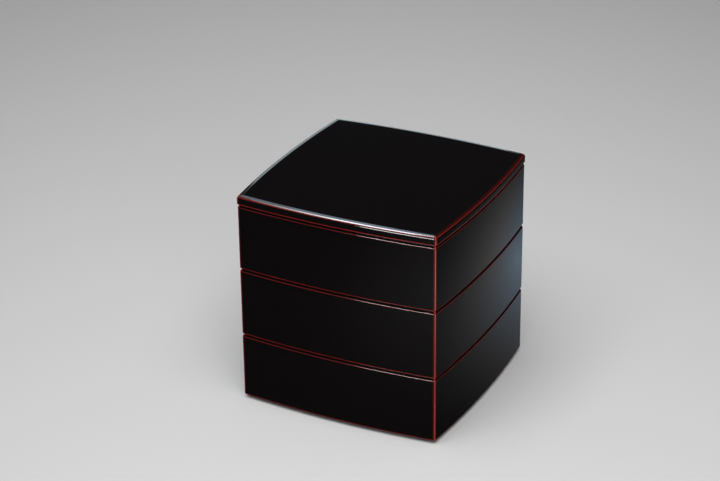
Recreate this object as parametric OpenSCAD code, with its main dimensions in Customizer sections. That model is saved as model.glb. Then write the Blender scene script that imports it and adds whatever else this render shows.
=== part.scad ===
// Three-tier stacking lacquer food box (jubako) with a lid. Millimetres.
// The box is centred on x = 0, y = 0 and stands on z = 0. Its front faces -Y.
// Each side bows outwards on one long arc. A tier is four bowed wall boards,
// mitred at the corners and keyed there, round a let-in bottom board. The
// foot strips under the board drop into the tier below and locate it.

/* [Plan] */
// Straight distance between two neighbouring corners of a tier
side = 185; // [150:1:240]
// How far the middle of a side bulges past the line between its corners
bow = 5; // [2:0.1:9]
// Rounding of the four upright corner ridges
ridge_r = 2; // [1:0.25:4]

/* [Tiers] */
// Height that the bottom tier adds to the stack
bottom_tier_h = 60.5; // [45:0.5:90]
// Height that the middle tier adds to the stack
middle_tier_h = 63.5; // [45:0.5:90]
// Height that the top tier adds to the stack
top_tier_h = 60.5; // [45:0.5:90]
// Thickness of the wall boards
wall = 6; // [5:0.5:9]
// Rounding of the outer upper and lower edges of a wall
edge_r = 2; // [0.8:0.1:2.2]
// Rounding of the inner upper edge of a wall
lip_r = 0.8; // [0.4:0.1:1.2]
// Air between the rim of a tier and the piece that rests on it
rest_gap = 0.05; // [0.02:0.01:0.2]

/* [Bottom board] */
// Thickness of the bottom board
board_t = 4; // [3:0.5:6]
// How far the board is let into the walls
rebate = 2; // [1:0.25:2]

/* [Foot] */
// How far the foot strips stand below the walls
foot_drop = 3; // [2:0.25:5]
// Width of a foot strip
foot_w = 8; // [5:0.5:14]
// Free play between a foot strip and the walls that it drops into
foot_clearance = 0.4; // [0.3:0.05:1]
// Rounding of the lower edges of a foot strip
foot_r = 0.8; // [0.3:0.1:1.2]
// Rounding of the upright corners of a foot
foot_ridge_r = 4; // [2:0.5:6]

/* [Corner keys] */
// Thickness of a corner key
key_t = 1.5; // [1:0.25:3]
// Depth of wood that covers a key on the outside
key_cover = 0.6; // [0.4:0.1:1]
// Wood left between a key and the inner corner
key_backing = 1.2; // [0.8:0.1:2]

/* [Lid] */
// How far the lid stands past the walls
lid_overhang = 0.6; // [0:0.1:1.5]
// Height of the lid's side, from the rim that it rests on to its shoulder
lid_side = 8; // [7:0.1:12]
// Rise of the rounded shoulder above the lid's side
shoulder_rise = 1; // [0.5:0.1:2]
// Width of the shoulder
shoulder_w = 4.7; // [3:0.1:8]
// Thickness of the lid panel at its middle
panel_t = 5; // [4:0.25:6]
// Rounding of the lid's lower edge
lid_edge_r = 2; // [0.6:0.1:2.5]
// How far the lid's tongue drops into the top tier
tongue_drop = 3; // [2:0.25:5]
// Width of a tongue strip
tongue_w = 5; // [3:0.5:10]

/* [Hidden] */
// Glue line left between curved faces that are joined
glue = 0.1;
// How far a cutting shape runs past what it cuts
past = 1;
// Half the angle of the revolved pieces, wide enough to pass the corners
sweep = 12;
// Facets in a full turn of a bowed face, and of a small rounding
face_fn = 720;
round_fn = 64;

TIERS = ["bottom_tier", "middle_tier", "top_tier"];
SIDES = ["front", "right", "back", "left"];
// Turn that takes the side at +X to each of the sides above
TURNS = [-90, 0, 90, 180];

heights = [bottom_tier_h, middle_tier_h, top_tier_h];
// Height of the face that each tier rests on, and of the rim under the lid
seats = [
    foot_drop,
    foot_drop + bottom_tier_h,
    foot_drop + bottom_tier_h + middle_tier_h,
];
lid_seat = seats[2] + top_tier_h;
lid_h = lid_side + shoulder_rise;

// Height of a tier's wall boards
function wall_h(tier) = heights[tier] - rest_gap;

// The outer face of the side at +X is an arc about the upright line x = arc_x
half = side / 2;
arc_r = (half * half + bow * bow) / (2 * bow);
arc_x = half + bow - arc_r;

foot_inset = wall + foot_clearance;
lacquer_black = [0.05, 0.045, 0.05];
lacquer_red = [0.5, 0.07, 0.04];
bare_wood = [0.72, 0.56, 0.36];

// x, and y, of the corner where the faces set in by this much meet
function corner(inset) =
    (arc_x + sqrt(2 * pow(arc_r - inset, 2) - arc_x * arc_x)) / 2;

// x of the point where the line x + y = total meets the face set in by inset
function on_face(inset, total) =
    let (b = arc_x + total)
    let (c = arc_x * arc_x + total * total - pow(arc_r - inset, 2))
    (b + sqrt(b * b - 2 * c)) / 2;

// x + y of the line that joins the two ends of a rounded corner ridge
function ridge_line(inset, r) =
    let (c = corner(inset + r))
    let (k = (arc_r - inset) / (arc_r - inset - r))
    arc_x + (2 * c - arc_x) * k;

// What is cut off a square corner at the origin, in the quarter x, y > 0
module corner_waste(r) {
    difference() {
        translate([-past, -past]) square(r + past);
        translate([r, r]) circle(r, $fn = round_fn);
    }
}

// The quarter of the plan that belongs to the side at +X, with round ridges
module quarter_plan(inset, r) {
    total = ridge_line(inset, r);
    c = corner(inset + r);
    rotate(-45) square(total / sqrt(2));
    intersection() {
        polygon([[0, 0], [side, -side], [side, side]]);
        union() {
            for (y = [-c, c]) translate([c, y]) circle(r, $fn = round_fn);
        }
    }
}

// The whole plan inside the faces set in by this much
module full_plan(inset) {
    intersection_for(a = TURNS)
        rotate(a) translate([arc_x, 0]) circle(arc_r - inset, $fn = face_fn);
}

// Sweeps a section along the bowed face. Its x = 0 is the outer face of a wall
module along_face() {
    translate([arc_x, 0, 0])
        rotate([0, 0, -sweep])
            rotate_extrude(angle = 2 * sweep, $fn = face_fn)
                translate([arc_r, 0]) children();
}

// One mitred piece at +X: a section along the face, cut to its quarter
module mitred(inset, r, low, high) {
    intersection() {
        along_face() children();
        translate([0, 0, low - past])
            linear_extrude(high - low + 2 * past) quarter_plan(inset, r);
    }
}

// Plan of a corner key, between +X and +Y
module key_plan() {
    total = 2 * (corner(wall) + key_backing / sqrt(2));
    x = on_face(key_cover, total);
    tip = corner(key_cover + ridge_r / 2);
    polygon([[tip, tip], [total - x, x], [x, total - x]]);
}

// The two keys of one corner, for a tier of this height
module key_pair(height) {
    for (share = [1, 2])
        translate([0, 0, height * share / 3 - key_t / 2])
            linear_extrude(key_t) key_plan();
}

module wall_section(height) {
    difference() {
        translate([-wall, 0]) square([wall, height]);
        mirror([1, 0]) corner_waste(edge_r);
        translate([0, height]) rotate(180) corner_waste(edge_r);
        translate([-wall, height]) mirror([0, 1]) corner_waste(lip_r);
        translate([-wall - past, -past]) square([rebate + past, board_t + past]);
    }
}

module wall_board(tier, turn) {
    height = wall_h(tier);
    color(lacquer_black)
        translate([0, 0, seats[tier]]) rotate(turn) difference() {
            mitred(0, ridge_r, 0, height) wall_section(height);
            for (a = [-90, 0]) rotate(a) key_pair(height);
        }
}

module bottom_board(tier) {
    color(lacquer_red)
        translate([0, 0, seats[tier]])
            linear_extrude(board_t) full_plan(wall - rebate + glue);
}

module corner_keys(tier) {
    color(bare_wood)
        translate([0, 0, seats[tier]])
            for (a = TURNS) rotate(a) key_pair(wall_h(tier));
}

module foot_section() {
    difference() {
        translate([-foot_inset - foot_w, -foot_drop]) square([foot_w, foot_drop]);
        translate([-foot_inset, -foot_drop]) mirror([1, 0]) corner_waste(foot_r);
        translate([-foot_inset - foot_w, -foot_drop]) corner_waste(foot_r);
    }
}

module foot_strip(tier, turn) {
    color(lacquer_black)
        translate([0, 0, seats[tier]]) rotate(turn)
            mitred(foot_inset, foot_ridge_r, -foot_drop, 0) foot_section();
}

// The lid's section reaches back far enough to cross the whole panel
module panel_section() {
    reach = 2 * (half + bow + lid_overhang) + past;
    shoulder_r = (pow(shoulder_w, 2) + pow(shoulder_rise, 2)) / (2 * shoulder_rise);
    difference() {
        translate([lid_overhang - reach, 0]) square([reach, panel_t]);
        difference() {
            translate([lid_overhang - shoulder_w, panel_t - shoulder_rise])
                square([shoulder_w + past, shoulder_rise + past]);
            translate([lid_overhang - shoulder_w, panel_t - shoulder_r])
                circle(shoulder_r, $fn = face_fn);
        }
    }
}

module lid_panel() {
    total = ridge_line(-lid_overhang, ridge_r);
    c = corner(ridge_r - lid_overhang);
    color(lacquer_black)
        translate([0, 0, lid_seat + lid_h - panel_t]) intersection() {
            intersection_for(a = TURNS) rotate(a) along_face() panel_section();
            translate([0, 0, -past]) linear_extrude(panel_t + 2 * past) union() {
                rotate(45) square(total * sqrt(2), center = true);
                for (a = TURNS) rotate(a) translate([c, c]) circle(ridge_r, $fn = round_fn);
            }
        }
}

module rail_section(height) {
    width = lid_overhang + foot_inset - glue;
    difference() {
        translate([lid_overhang - width, 0]) square([width, height]);
        translate([lid_overhang, 0]) mirror([1, 0]) corner_waste(lid_edge_r);
    }
}

module lid_rail(turn) {
    height = lid_h - panel_t;
    color(lacquer_black)
        translate([0, 0, lid_seat]) rotate(turn)
            mitred(-lid_overhang, ridge_r, 0, height) rail_section(height);
}

module tongue_section(height) {
    translate([-foot_inset - tongue_w, -tongue_drop]) difference() {
        square([tongue_w, height + tongue_drop]);
        corner_waste(foot_r);
        translate([tongue_w, 0]) mirror([1, 0]) corner_waste(foot_r);
    }
}

module lid_tongue(turn) {
    height = lid_h - panel_t;
    color(lacquer_black)
        translate([0, 0, lid_seat]) rotate(turn)
            mitred(foot_inset, foot_ridge_r, -tongue_drop, height)
                tongue_section(height);
}

for (t = [0, 1, 2]) {
    for (i = [0 : 3]) {
        wall_board(t, TURNS[i]);
        foot_strip(t, TURNS[i]);
    }
    bottom_board(t);
    corner_keys(t);
}
lid_panel();
for (i = [0 : 3]) {
    lid_rail(TURNS[i]);
    lid_tongue(TURNS[i]);
}
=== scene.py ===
"""A three-tier stacking lacquer food box with a lid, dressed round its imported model.

Every tier is a lacquered ring of walls, a vermilion floor and a foot ring. The
plan is a square whose sides bow outwards. A ring is spun as a round tub first,
and its points are then laid on that bowed square, column by column.
"""

import math

import bmesh
import bpy
from mathutils import Matrix, Vector


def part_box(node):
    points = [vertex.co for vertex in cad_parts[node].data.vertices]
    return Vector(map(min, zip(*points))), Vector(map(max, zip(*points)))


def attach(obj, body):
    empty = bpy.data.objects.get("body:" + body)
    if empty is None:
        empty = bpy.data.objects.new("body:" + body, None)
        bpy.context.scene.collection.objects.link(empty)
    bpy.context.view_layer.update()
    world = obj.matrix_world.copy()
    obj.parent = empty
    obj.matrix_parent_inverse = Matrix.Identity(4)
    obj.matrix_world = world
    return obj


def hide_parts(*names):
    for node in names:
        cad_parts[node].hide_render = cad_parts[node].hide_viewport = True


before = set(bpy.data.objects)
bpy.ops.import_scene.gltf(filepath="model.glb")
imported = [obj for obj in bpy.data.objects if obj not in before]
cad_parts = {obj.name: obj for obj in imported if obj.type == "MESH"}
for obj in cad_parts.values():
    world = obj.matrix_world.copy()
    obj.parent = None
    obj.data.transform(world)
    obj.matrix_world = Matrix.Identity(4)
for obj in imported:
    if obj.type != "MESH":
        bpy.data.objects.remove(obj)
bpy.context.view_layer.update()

MM = 0.001

# The bowed square: straight distance between two corners, and bulge of a side
SIDE = 185 * MM
BOW = 5 * MM
HALF = SIDE / 2
APEX = HALF + BOW
ARC_R = (HALF**2 + BOW**2) / (2 * BOW)
ARC_X = APEX - ARC_R
# How round the upright corners are, outside and inside, and at the least
RIDGE_R = 2 * MM
INNER_R = 3 * MM
LEAST_R = 0.4 * MM

# Tier walls. The rim's outer edge slopes, and so does the edge over a seam
WALL = 6 * MM
REBATE = 2 * MM
RIM_IN = 1.5 * MM
RIM_FALL = 2 * MM
SEAM_IN = 1.4 * MM
SEAM_RISE = 1.2 * MM
SOFT_R = 1 * MM
CRISP_R = 0.5 * MM
LIP_R = 0.8 * MM
# A row of faces this high, along the outer edges and inside the rim, keeps the flat even
EDGE_ROW = 5 * MM
# Inset at which a rim turns vermilion
LINING_IN = WALL - 0.3 * LIP_R
# Rubbed lines lie this far inside the outer face
LINE_IN = 0.1 * MM

# Tier floor and foot. The feather is the thickness of the cove's edge, and the glue is
# the room round the board
BOARD_T = 4 * MM
COVE_R = 2 * MM
FEATHER = 0.05 * MM
GLUE = 0.05 * MM
FOOT_GAP = 0.4 * MM
FOOT_W = 8 * MM
FOOT_R = 0.8 * MM

# Lid
OVERHANG = 0.6 * MM
SHOULDER_W = 4.7 * MM
SHOULDER_FALL = 0.95 * MM
SHOULDER_R = 4 * MM
ARRIS_R = 2.6 * MM
PANEL_T = 5 * MM
# Height of the row of faces along the lid's lower edge
LID_ROW = 3.5 * MM
TONGUE_W = 5 * MM
# Rubbed line on the lid's upper edge: in from its side, and down from its corner
ARRIS_LINE_IN = 0.59 * MM
ARRIS_LINE_FALL = 0.48 * MM
# Rubbed line on the lid's lower edge: up from the end of its slope
LOWER_LINE_RISE = 0.15 * MM
# Thin lacquer over the shoulder: where it ends below the corner, and how sharply
THIN_FALL = 0.6 * MM
THIN_END = 8
# The tongue's inside is vermilion, and so is this much of its underside
TONGUE_RED = 0.4 * MM

# Inset where a slab's filled middle starts, and of a row of faces on the lid's flat
MIDDLE_IN = 4 * WALL
FLAT_IN = 2 * WALL

# Columns of faces on half a side, and on half a corner
SIDE_COLUMNS = 12
CORNER_COLUMNS = 6
QUARTER = 2 * (SIDE_COLUMNS + CORNER_COLUMNS)
ROUND_STEPS = 8
# Points nearer than this count as one
SAME_PLACE = 1e-7
# Distance that stands for "not near a rubbed line", in mm
FAR = 20

TIERS = ["bottom_tier", "middle_tier", "top_tier"]
SIDES = ["front", "right", "back", "left"]


# Plan of the bowed square

def corner_at(inset):
    """x, and y, of the corner where the faces set in by this much meet."""
    return (ARC_X + math.sqrt(2 * (ARC_R - inset) ** 2 - ARC_X**2)) / 2


def outer_turn(inset):
    """Rounding of the plan's corners on an outside face."""
    return max(RIDGE_R - inset, LEAST_R)


def inner_turn(inset):
    """Rounding of the plan's corners on an inside face."""
    return max(INNER_R + WALL - inset, LEAST_R)


def wall_turn(inset):
    """Rounding of the plan's corners on a tier's walls, outside and then inside."""
    return outer_turn(inset) if inset < WALL - REBATE else inner_turn(inset)


def plan_point(inset, turn, column):
    """Place in plan of a column, and its distance from the nearest corner line."""
    side, place = divmod(column + QUARTER // 2, QUARTER)
    place -= QUARTER // 2
    centre = corner_at(inset + turn)
    last = math.atan2(centre, centre - ARC_X)
    hand = math.copysign(1, place)
    if abs(place) <= SIDE_COLUMNS:
        angle = last * abs(place) / SIDE_COLUMNS
        x = ARC_X + (ARC_R - inset) * math.cos(angle)
        y = (ARC_R - inset) * math.sin(angle)
        away = (ARC_R - inset) * (last - angle) + turn * (math.pi / 4 - last)
    else:
        share = (abs(place) - SIDE_COLUMNS) / CORNER_COLUMNS
        angle = last + share * (math.pi / 4 - last)
        x = centre + turn * math.cos(angle)
        y = centre + turn * math.sin(angle)
        away = turn * (math.pi / 4 - angle)
    return Matrix.Rotation(side * math.pi / 2, 2) @ Vector((x, hand * y)), away


# Rings

def draw_section(bm, corners):
    """Draws a section as a closed wire. A corner is its inset, height and rounding."""
    places = [Vector((APEX - inset, 0, z)) for inset, z, _ in corners]
    verts = [bm.verts.new(place) for place in places]
    bm.faces.new(verts)
    for i, (_, _, radius) in enumerate(corners):
        if not radius:
            continue
        to_last = places[i - 1] - places[i]
        to_next = places[(i + 1) % len(places)] - places[i]
        turn = math.pi - to_last.angle(to_next)
        bmesh.ops.bevel(
            bm,
            geom=[verts[i]],
            offset=radius * math.tan(turn / 2),
            offset_type="OFFSET",
            affect="VERTICES",
            segments=ROUND_STEPS,
            profile=0.5,
            material=-1,
        )
    bmesh.ops.delete(bm, geom=list(bm.faces), context="FACES_ONLY")


def spin_round(bm):
    """Spins the section into a round tub, with one step for each column of faces."""
    bmesh.ops.spin(
        bm,
        geom=list(bm.edges) + list(bm.verts),
        cent=(0, 0, 0),
        axis=(0, 0, 1),
        dvec=(0, 0, 0),
        angle=2 * math.pi,
        steps=4 * QUARTER,
        use_merge=True,
        use_normal_flip=False,
        use_duplicate=False,
    )
    bmesh.ops.remove_doubles(bm, verts=list(bm.verts), dist=SAME_PLACE)


def from_line(inset, z, line):
    """Distance from a rubbed line, in mm, and below zero underneath it."""
    if line is None:
        return FAR
    away = min(math.hypot(inset - line[0], z - line[1]) / MM, FAR)
    return math.copysign(away, z - line[1])


def ring(name, corners, turn, lines=None, thin=None, lining=None, solid=False):
    """A bowed-square ring, or a slab if it is solid, with its rubbed lines measured.

    The lines and the ridge are measured on the surface as attributes, in mm. So is
    the way into the vermilion lining, which is where lining(inset, z) is above zero.
    """
    bm = bmesh.new()
    draw_section(bm, corners)
    outside = min(inset for inset, _, _ in corners)
    if solid:
        # The section is open at the middle, where the spin leaves two rims to fill
        inmost = max(inset for inset, _, _ in corners)
        ends = [
            edge
            for edge in bm.edges
            if all(abs(APEX - v.co.x - inmost) < SAME_PLACE for v in edge.verts)
        ]
        bmesh.ops.delete(bm, geom=ends, context="EDGES")
    spin_round(bm)
    lines = {"from_upper": None, "from_lower": None, "from_arris": None} | (lines or {})
    layers = [*lines, "from_ridge", "from_thin", "into_lining"]
    layers = {layer: bm.verts.layers.float.new(layer) for layer in layers}
    step = 2 * math.pi / (4 * QUARTER)
    for v in bm.verts:
        inset = APEX - math.hypot(v.co.x, v.co.y)
        z = v.co.z
        column = round(math.atan2(v.co.y, v.co.x) / step)
        place, away = plan_point(inset, turn(inset), column)
        depth = inset - outside
        for layer, line in lines.items():
            v[layers[layer]] = from_line(inset, z, line)
        v[layers["from_ridge"]] = math.hypot(away, max(depth - RIDGE_R, 0)) / MM
        v[layers["from_thin"]] = thin(inset, z) / MM if thin else FAR
        v[layers["into_lining"]] = lining(inset, z) / MM if lining else -FAR
        v.co = (*place, z)
    if solid:
        bmesh.ops.holes_fill(bm, edges=[edge for edge in bm.edges if edge.is_boundary])
    bmesh.ops.recalc_face_normals(bm, faces=list(bm.faces))
    for face in bm.faces:
        face.smooth = True
    mesh = bpy.data.meshes.new(name)
    bm.to_mesh(mesh)
    bm.free()
    piece = bpy.data.objects.new(name, mesh)
    bpy.context.scene.collection.objects.link(piece)
    even = piece.modifiers.new("even shading", "WEIGHTED_NORMAL")
    even.mode = "FACE_AREA"
    even.weight = 100
    even.keep_sharp = True
    return piece


def lacquered_walls(tier, seat, top):
    """Four walls under one lacquer skin: black outside, vermilion inside."""
    corners = [
        (SEAM_IN, seat, CRISP_R),
        (0, seat + SEAM_RISE, SOFT_R),
        (0, seat + EDGE_ROW, 0),
        (0, top - EDGE_ROW, 0),
        (0, top - RIM_FALL, SOFT_R),
        (RIM_IN, top, CRISP_R),
        (WALL, top, LIP_R),
        (WALL, top - EDGE_ROW, 0),
        (WALL, seat + BOARD_T, 0),
        (WALL - REBATE, seat + BOARD_T, 0),
        (WALL - REBATE, seat, 0),
    ]
    return ring(
        f"{tier}_lacquered_walls",
        corners,
        wall_turn,
        lines={
            "from_upper": (LINE_IN, top - RIM_FALL),
            "from_lower": (LINE_IN, seat + SEAM_RISE),
        },
        lining=lambda inset, z: inset - LINING_IN,
    )


def lacquered_floor(tier, seat):
    """Bottom board, let into the walls, with the lacquered cove round its top."""
    edge = WALL - REBATE + GLUE
    top = seat + BOARD_T
    corners = [
        (edge, seat, 0),
        (edge, top, 0),
        (WALL, top, 0),
        (WALL, top + COVE_R + FEATHER, 0),
        (WALL + FEATHER, top + COVE_R + FEATHER, 0),
        (WALL + FEATHER, top, COVE_R),
        (MIDDLE_IN, top, 0),
        (MIDDLE_IN, seat, 0),
    ]
    return ring(
        f"{tier}_lacquered_floor",
        corners,
        inner_turn,
        lining=lambda inset, z: z - (seat + BOARD_T / 2),
        solid=True,
    )


def lacquered_foot(tier, seat, low):
    """Four foot strips under one skin, which drop into the tier below."""
    outer = WALL + FOOT_GAP
    corners = [
        (outer, low, FOOT_R),
        (outer, seat, 0),
        (outer + FOOT_W, seat, 0),
        (outer + FOOT_W, low, FOOT_R),
    ]
    return ring(f"{tier}_lacquered_foot", corners, inner_turn)


def lacquered_lid(seat, top):
    """Panel and rails under one skin, with its rounded shoulder."""
    arris_z = top - SHOULDER_FALL
    under = top - PANEL_T
    corners = [
        (SEAM_IN - OVERHANG, seat, CRISP_R),
        (-OVERHANG, seat + SEAM_RISE, SOFT_R),
        (-OVERHANG, seat + LID_ROW, 0),
        (-OVERHANG, arris_z, ARRIS_R),
        (SHOULDER_W - OVERHANG, top, SHOULDER_R),
        (FLAT_IN, top, 0),
        (MIDDLE_IN, top, 0),
        (MIDDLE_IN, under, 0),
        (WALL + FOOT_GAP, under, 0),
        (WALL + FOOT_GAP, seat, 0),
    ]
    return ring(
        "lid_lacquered_top",
        corners,
        outer_turn,
        lines={
            "from_arris": (ARRIS_LINE_IN - OVERHANG, arris_z - ARRIS_LINE_FALL),
            "from_lower": (LINE_IN - OVERHANG, seat + SEAM_RISE + LOWER_LINE_RISE),
        },
        thin=lambda inset, z: max(
            inset + OVERHANG - SHOULDER_W,
            THIN_END * (arris_z - THIN_FALL - z),
        ),
        lining=lambda inset, z: inset - WALL if z < top - PANEL_T / 2 else -FAR * MM,
        solid=True,
    )


def lacquered_tongue(seat, low, high):
    """Four strips under the lid under one skin, which drop into the top tier."""
    outer = WALL + FOOT_GAP
    inner = outer + TONGUE_W
    corners = [
        (outer, low, FOOT_R),
        (outer, high, 0),
        (inner, high, 0),
        (inner, low, FOOT_R),
    ]
    return ring(
        "lid_lacquered_tongue",
        corners,
        inner_turn,
        lining=lambda inset, z: inset - (inner - TONGUE_RED),
    )


# Materials

def node(tree, kind, inputs=(), **settings):
    """Adds a shader node, with its settings. An input is a value, or a socket to link."""
    made = tree.nodes.new("ShaderNode" + kind)
    for key, value in settings.items():
        setattr(made, key, value)
    for key, value in dict(inputs).items():
        if isinstance(value, bpy.types.NodeSocket):
            tree.links.new(value, made.inputs[key])
        else:
            made.inputs[key].default_value = value
    return made


def new_material(name):
    material = bpy.data.materials.new(name)
    material.use_nodes = True
    tree = material.node_tree
    return material, tree, tree.nodes["Principled BSDF"]


def near(tree, distance, core, edge):
    """One at core and past it, falling to nothing at edge."""
    ramp = node(
        tree,
        "MapRange",
        {"Value": distance, "From Min": edge, "From Max": core},
        interpolation_type="SMOOTHSTEP",
    )
    return ramp.outputs["Result"]


def math_node(tree, operation, first, second=0.0):
    return node(tree, "Math", {0: first, 1: second}, operation=operation).outputs[0]


def mix_colour(tree, share, first, second):
    mix = node(tree, "Mix", {"Factor": share, "A": first, "B": second}, data_type="RGBA")
    return mix.outputs["Result"]


def mix_shader(tree, share, first, second):
    return node(tree, "MixShader", {0: share, 1: first, 2: second}).outputs["Shader"]


def noise(tree, scale, detail=2.0):
    place = node(tree, "TexCoord").outputs["Object"]
    made = node(tree, "TexNoise", {"Vector": place, "Scale": scale, "Detail": detail})
    return made.outputs["Fac"]


def attribute(tree, name):
    return node(tree, "Attribute", attribute_name=name).outputs["Fac"]


BLACK = (0.0047, 0.0038, 0.0041, 1)
VERMILION = (0.5, 0.026, 0.018, 1)
# Paler pink of a painted highlight down the middle of a ridge
RIDGE_SHEEN_PAINT = (0.55, 0.1, 0.07, 1)
LINING = (0.5, 0.038, 0.015, 1)
LINING_DEEP = (0.41, 0.027, 0.012, 1)

# Rubbed lines: attribute, how far it is rubbed and where it ends in mm, and its strength
RUBBED_LINES = [
    ("from_upper", 0.1, 0.5, 0.3),
    ("from_arris", 0.2, 0.6, 0.42),
    ("from_lower", 0.15, 0.45, 0.95),
    ("from_ridge", 0.15, 0.5, 0.9),
    ("from_ridge", 0.4, 2.4, 0.24),
]
# The middle of a ridge is painted paler and pinker, a painted highlight of its sheen
RIDGE_SHEEN_LINE = ("from_ridge", 0, 0.5, 1)
# Thin lacquer on the lid's shoulder: where it is full and where it ends, in mm from the
# shoulder's inner end, and its strength
THIN_FULL = -4.5
THIN_GONE = -0.3
THIN_STRENGTH = 0.1
# Waver of the lines: fineness, and width in mm
WAVER_SCALE = 350
WAVER_WIDTH = 0.3
# Half the width of the edge between black and vermilion, in mm
LINING_EDGE = 0.1
# Patches of deeper vermilion: fineness and detail
VERMILION_SCALE = 45
VERMILION_DETAIL = 6.0
# Roughness of the polish, what its unevenness adds, and what rubbing adds
POLISHED = 0.045
UNEVEN = 0.03
UNEVEN_SCALE = 30
DULL = 0.08
# Ripple left by the brush: fineness, detail, strength and depth
BRUSH_SCALE = 70
BRUSH_DETAIL = 1.0
BRUSH_STRENGTH = 0.15
BRUSH_DEPTH = 0.00005
LACQUER_IOR = 1.5

# Wood of the corner keys: its two colours, its grain drawn out level, and its roughness
GRAIN_DEEP = (0.42, 0.25, 0.11, 1)
GRAIN_PALE = (0.66, 0.46, 0.26, 1)
GRAIN_STRETCH = (60, 60, 900)
GRAIN_SCALE = 1.0
GRAIN_DETAIL = 6.0
WOOD_ROUGHNESS = 0.6


def rubbed_lacquer():
    """Black lacquer over vermilion, rubbed through along its edges, and lined red."""
    material, tree, skin = new_material("rubbed_black_lacquer")
    waver = math_node(tree, "SUBTRACT", noise(tree, WAVER_SCALE), 0.5)
    waver = math_node(tree, "MULTIPLY", waver, WAVER_WIDTH)

    def line(name, core, edge, strength):
        away = math_node(tree, "ABSOLUTE", attribute(tree, name))
        shown = near(tree, math_node(tree, "ADD", away, waver), core, edge)
        return math_node(tree, "MULTIPLY", shown, strength)

    rubbed = line(*RUBBED_LINES[0])
    for rubbed_line in RUBBED_LINES[1:]:
        rubbed = math_node(tree, "MAXIMUM", rubbed, line(*rubbed_line))
    thin = near(tree, attribute(tree, "from_thin"), THIN_FULL, THIN_GONE)
    thin = math_node(tree, "MULTIPLY", thin, THIN_STRENGTH)
    rubbed = math_node(tree, "MAXIMUM", rubbed, thin)
    colour = mix_colour(tree, rubbed, BLACK, VERMILION)
    # Painted highlight: the middle of a ridge is painted paler
    colour = mix_colour(tree, line(*RIDGE_SHEEN_LINE), colour, RIDGE_SHEEN_PAINT)
    into = math_node(tree, "ADD", attribute(tree, "into_lining"), waver)
    lined = near(tree, into, LINING_EDGE, -LINING_EDGE)
    patches = noise(tree, VERMILION_SCALE, VERMILION_DETAIL)
    colour = mix_colour(tree, lined, colour, mix_colour(tree, patches, LINING_DEEP, LINING))
    tree.links.new(colour, skin.inputs["Base Color"])
    dull = math_node(tree, "MULTIPLY", math_node(tree, "MAXIMUM", rubbed, lined), DULL)
    uneven = math_node(tree, "MULTIPLY", noise(tree, UNEVEN_SCALE), UNEVEN)
    rough = math_node(tree, "ADD", math_node(tree, "ADD", dull, uneven), POLISHED)
    tree.links.new(rough, skin.inputs["Roughness"])
    ripple = noise(tree, BRUSH_SCALE, BRUSH_DETAIL)
    brushed = node(
        tree,
        "Bump",
        {"Height": ripple, "Strength": BRUSH_STRENGTH, "Distance": BRUSH_DEPTH},
    )
    tree.links.new(brushed.outputs["Normal"], skin.inputs["Normal"])
    skin.inputs["IOR"].default_value = LACQUER_IOR
    return material


def key_wood():
    """Bare planed wood with level grain."""
    material, tree, skin = new_material("key_wood")
    place = node(tree, "TexCoord").outputs["Object"]
    drawn = node(tree, "Mapping", {"Vector": place, "Scale": GRAIN_STRETCH}).outputs["Vector"]
    grain = node(
        tree,
        "TexNoise",
        {"Vector": drawn, "Scale": GRAIN_SCALE, "Detail": GRAIN_DETAIL},
    )
    colour = mix_colour(tree, grain.outputs["Fac"], GRAIN_DEEP, GRAIN_PALE)
    tree.links.new(colour, skin.inputs["Base Color"])
    skin.inputs["Roughness"].default_value = WOOD_ROUGHNESS
    return material


# Stage

# Where the photograph was taken from, and its lens in mm
CAMERA_PLACE = Vector((0.7755, -1.5709, 0.9975))
YAW = math.radians(26.959)
PITCH = math.radians(26.271)
ROLL = math.radians(-0.669)
LENS = 112.03
SENSOR_WIDTH = 36

# The point that the lamps face, and how far from it they stand
LAMP_AIM = Vector((0, 0, 0.1))
LAMP_AWAY = 2.5
# Which way a lamp's length runs
BACKWARDS = (0, 1, 0)
UPWARDS = (0, 0, 1)
# Bands of the key and sky lamps, which fade to the left: shift, width and brightness
KEY_BANDS = [(0.11, 0.40, 26), (-0.145, 0.11, 17), (-0.25, 0.10, 10), (-0.36, 0.12, 5)]
SKY_BANDS = [(0.165, 0.37, 3.0), (-0.10, 0.16, 2.3), (-0.265, 0.17, 1.6)]

# Brightness of the backdrop to the camera, and of the world as a light
BACKDROP = 0.42
WORLD_LIGHT = 0.2
# Brightness of the floor and the world where the lacquer mirrors them. The floor's is a painted
# dark reflection, in place of its lit colour
MIRRORED = 0.012
# Painted glowing patches of the floor, seen only in the lacquer's reflections: centre, reach and
# brightness
FLOOR_GLOWS = [
    ((0.135, 0.27, 0), (0.24, 0.38, 1), 0.46),
    ((0.10, -0.38, 0), (0.30, 0.30, 1), 0.28),
    ((0.36, -0.23, 0), (0.20, 0.30, 1), 2.2),
]
# Tints of the floor's painted reflection, and its painted cool patch: centre, reach and where it
# is full
MIRRORED_TINT = (1.01, 0.98, 1, 1)
COOL_TINT = (0.75, 1, 1.25, 1)
COOL_CENTRE = (0.11, 0.32, 0)
COOL_REACH = (0.1, 0.3, 1)
COOL_FULL = 0.7

# The floor itself: half its width, its roughness, and a painted pool of light: paler round the box
# and painted greyer further off, where the light falls off
FLOOR_HALF = 10
FLOOR_ROUGHNESS = 0.9
FLOOR_PAINTED_FALLOFF = (0.45, 0.45, 0.45, 1)
FLOOR_PAINTED_POOL = (0.81, 0.81, 0.81, 1)
PAINTED_POOL_CENTRE = (0.18, -0.36, 0)
PAINTED_POOL_REACH = (1.3, 2.78, 1)
# To the camera the floor turns into the backdrop between 1 m and 2 m away. The patch
# for that falls from one at the middle to nothing at 3 m
FADE_REACH = (3, 3, 1)
FADE_START = 0.667
FADE_END = 0.33


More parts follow.
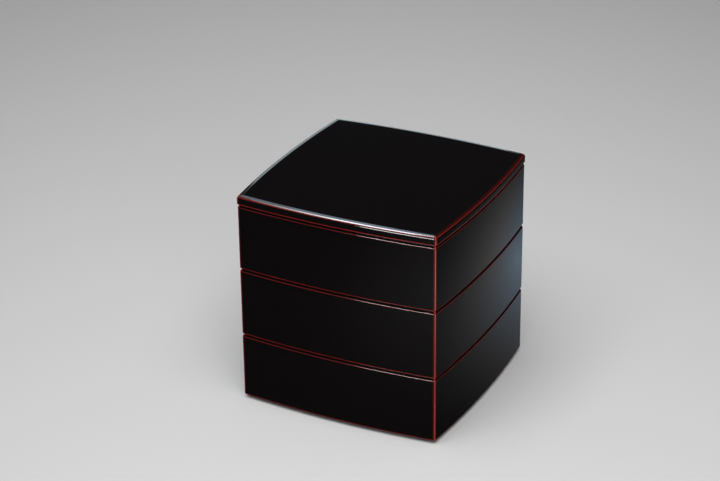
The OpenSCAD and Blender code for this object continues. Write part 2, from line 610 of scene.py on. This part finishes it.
def look_from(place, yaw, pitch, roll):
    """Matrix of a camera that looks to this yaw, down by pitch, and leans by roll."""
    level_reach = math.cos(pitch)
    forward = Vector((-math.sin(yaw) * level_reach, math.cos(yaw) * level_reach, -math.sin(pitch)))
    level = forward.cross(Vector((0, 0, 1))).normalized()
    above = level.cross(forward)
    right = math.cos(roll) * level + math.sin(roll) * above
    up = math.cos(roll) * above - math.sin(roll) * level
    turn = Matrix((right, up, -forward)).transposed().to_4x4()
    return Matrix.Translation(place) @ turn


def add_camera():
    data = bpy.data.cameras.new("camera")
    data.lens = LENS
    data.sensor_width = SENSOR_WIDTH
    camera = bpy.data.objects.new("camera", data)
    bpy.context.scene.collection.objects.link(camera)
    camera.matrix_world = look_from(CAMERA_PLACE, YAW, PITCH, ROLL)
    bpy.context.scene.camera = camera


def floor_patch(tree, centre, reach, falloff, turn=0):
    """One at the centre of an oval patch of the floor, falling to nothing at its rim."""
    place = node(tree, "TexCoord").outputs["Object"]
    moved = node(
        tree,
        "Mapping",
        {"Vector": place, "Location": centre, "Rotation": (0, 0, turn), "Scale": reach},
        vector_type="TEXTURE",
    ).outputs["Vector"]
    return node(tree, "TexGradient", {"Vector": moved}, gradient_type=falloff).outputs["Fac"]


def pale_floor():
    """Pale to the camera, with a painted pool of light round the box. The lacquer mirrors it as a
    painted glow instead, dark in front and pale at the right.
    """
    material, tree, skin = new_material("pale_floor")
    # Painted pool of light: the floor's colour is paler round the box and greyer further off
    patch = floor_patch(tree, PAINTED_POOL_CENTRE, PAINTED_POOL_REACH, "SPHERICAL", YAW)
    painted_pool = mix_colour(tree, near(tree, patch, 1, 0), FLOOR_PAINTED_FALLOFF, FLOOR_PAINTED_POOL)
    tree.links.new(painted_pool, skin.inputs["Base Color"])
    skin.inputs["Roughness"].default_value = FLOOR_ROUGHNESS
    skin.inputs["Specular IOR Level"].default_value = 0
    glow = MIRRORED
    for centre, reach, strength in FLOOR_GLOWS:
        patch = floor_patch(tree, centre, reach, "QUADRATIC_SPHERE")
        glow = math_node(tree, "ADD", math_node(tree, "MULTIPLY", patch, strength), glow)
    patch = floor_patch(tree, COOL_CENTRE, COOL_REACH, "SPHERICAL")
    tint = mix_colour(tree, near(tree, patch, COOL_FULL, 0), MIRRORED_TINT, COOL_TINT)
    # Painted reflection: mirror rays see a glowing floor, not its lit colour
    mirrored = node(tree, "Emission", {"Color": tint, "Strength": glow})
    plain = node(tree, "Emission", {"Strength": BACKDROP})
    patch = floor_patch(tree, (0, 0, 0), FADE_REACH, "SPHERICAL")
    far = near(tree, patch, FADE_END, FADE_START)
    path = node(tree, "LightPath")
    seen = math_node(tree, "MULTIPLY", far, path.outputs["Is Camera Ray"])
    shown = mix_shader(tree, seen, skin.outputs["BSDF"], plain.outputs["Emission"])
    shown = mix_shader(tree, path.outputs["Is Glossy Ray"], shown, mirrored.outputs["Emission"])
    tree.links.new(shown, tree.nodes["Material Output"].inputs["Surface"])
    return material


def add_floor():
    bm = bmesh.new()
    bmesh.ops.create_grid(bm, x_segments=1, y_segments=1, size=FLOOR_HALF)
    mesh = bpy.data.meshes.new("floor")
    bm.to_mesh(mesh)
    bm.free()
    floor = bpy.data.objects.new("floor", mesh)
    bpy.context.scene.collection.objects.link(floor)
    mesh.materials.append(pale_floor())


def lamp(
    name,
    direction,
    along,
    size,
    radiance,
    colour=(1, 1, 1),
    shift=0,
    mirrored=True,
    lights=True,
):
    """A soft box in this direction from the object, its length set along a vector.

    Its size is its width and length. It is moved sideways in its own plane by shift.
    Reflections show it if it is mirrored, and it lights the surfaces if it lights.
    """
    out = Vector(direction).normalized()
    across = Vector(along).cross(out).normalized()
    up = out.cross(across)
    data = bpy.data.lights.new(name, "AREA")
    data.shape = "RECTANGLE"
    data.size, data.size_y = size
    data.energy = radiance * math.pi * size[0] * size[1]
    data.color = colour
    box = bpy.data.objects.new(name, data)
    bpy.context.scene.collection.objects.link(box)
    turn = Matrix((across, up, out)).transposed().to_4x4()
    place = LAMP_AIM + out * LAMP_AWAY + across * shift
    box.matrix_world = Matrix.Translation(place) @ turn
    box.visible_glossy = mirrored
    box.visible_diffuse = lights


def banded_lamp(name, direction, bands, length, colour):
    """A lamp in bands side by side, for reflections only."""
    for n, (shift, width, radiance) in enumerate(bands):
        size = (width, length)
        lamp(f"{name}_{n}", direction, BACKWARDS, size, radiance, colour, shift, lights=False)


def add_world():
    """Even light from all round, pale to the camera and dark where the lacquer mirrors it."""
    world = bpy.data.worlds.new("studio")
    bpy.context.scene.world = world
    world.use_nodes = True
    tree = world.node_tree
    path = node(tree, "LightPath").outputs
    strength = WORLD_LIGHT
    for ray, brightness in (("Is Glossy Ray", MIRRORED), ("Is Camera Ray", BACKDROP)):
        mix = node(tree, "Mix", {"Factor": path[ray], "A": strength, "B": brightness})
        strength = mix.outputs["Result"]
    background = tree.nodes["Background"]
    background.inputs["Color"].default_value = (1, 1, 1, 1)
    tree.links.new(strength, background.inputs["Strength"])


def of_sides(group, kind):
    """Names of the four nodes of this kind in a group, one for each side."""
    return [f"{group}_{side}_{kind}" for side in SIDES]


def dress(piece, material, body, slot, *nodes):
    """Gives a piece its material and its body, and hides the nodes that it replaces. The slot is
    not used.
    """
    piece.data.materials.append(material)
    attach(piece, body)
    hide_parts(*nodes)


add_camera()
lacquer = rubbed_lacquer()
wood = key_wood()
for tier in TIERS:
    wall_low, wall_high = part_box(f"{tier}_front_wall")
    foot_low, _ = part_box(f"{tier}_front_foot")
    made = lacquered_walls(tier, wall_low.z, wall_high.z)
    dress(made, lacquer, tier, "black_lacquered_wood", *of_sides(tier, "wall"))
    made = lacquered_floor(tier, wall_low.z)
    dress(made, lacquer, tier, "red_lacquered_wood", f"{tier}_bottom_board")
    made = lacquered_foot(tier, wall_low.z, foot_low.z)
    dress(made, lacquer, tier, "black_lacquered_wood", *of_sides(tier, "foot"))
    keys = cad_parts[f"{tier}_corner_keys"]
    for place in keys.material_slots:
        place.material = wood

rail_low, rail_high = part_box("lid_front_rail")
_, panel_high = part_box("lid_panel")
tongue_low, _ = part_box("lid_front_tongue")
made = lacquered_lid(rail_low.z, panel_high.z)
dress(made, lacquer, "lid", "black_lacquered_wood", "lid_panel", *of_sides("lid", "rail"))
made = lacquered_tongue(rail_low.z, tongue_low.z, rail_high.z)
dress(made, lacquer, "lid", "black_lacquered_wood", *of_sides("lid", "tongue"))

add_floor()
banded_lamp("key", (-0.38, 0, 0.92), KEY_BANDS, length=1.75, colour=(0.93, 1, 1.04))
banded_lamp("sky", (-0.41, 0.46, 0.79), SKY_BANDS, length=0.45, colour=(0.82, 1, 1.2))
lamp(
    "front_strip",
    direction=(-0.2, -0.95, 0.22),
    along=UPWARDS,
    size=(0.68, 0.6),
    radiance=25,
    lights=False,
)
lamp(
    "back_card",
    direction=(-0.47, 0.86, 0.19),
    along=UPWARDS,
    size=(0.95, 0.95),
    radiance=1.15,
    colour=(0.82, 1, 1.07),
    lights=False,
)
lamp(
    "soft_light",
    direction=(0.09, -0.36, 0.93),
    along=BACKWARDS,
    size=(2.6, 2.2),
    radiance=3.1,
    mirrored=False,
)
lamp(
    "low_fill",
    direction=(0.6, -0.7, 0.4),
    along=UPWARDS,
    size=(0.8, 0.8),
    radiance=2.5,
    mirrored=False,
)
add_world()
bpy.context.scene.view_settings.view_transform = "Standard"
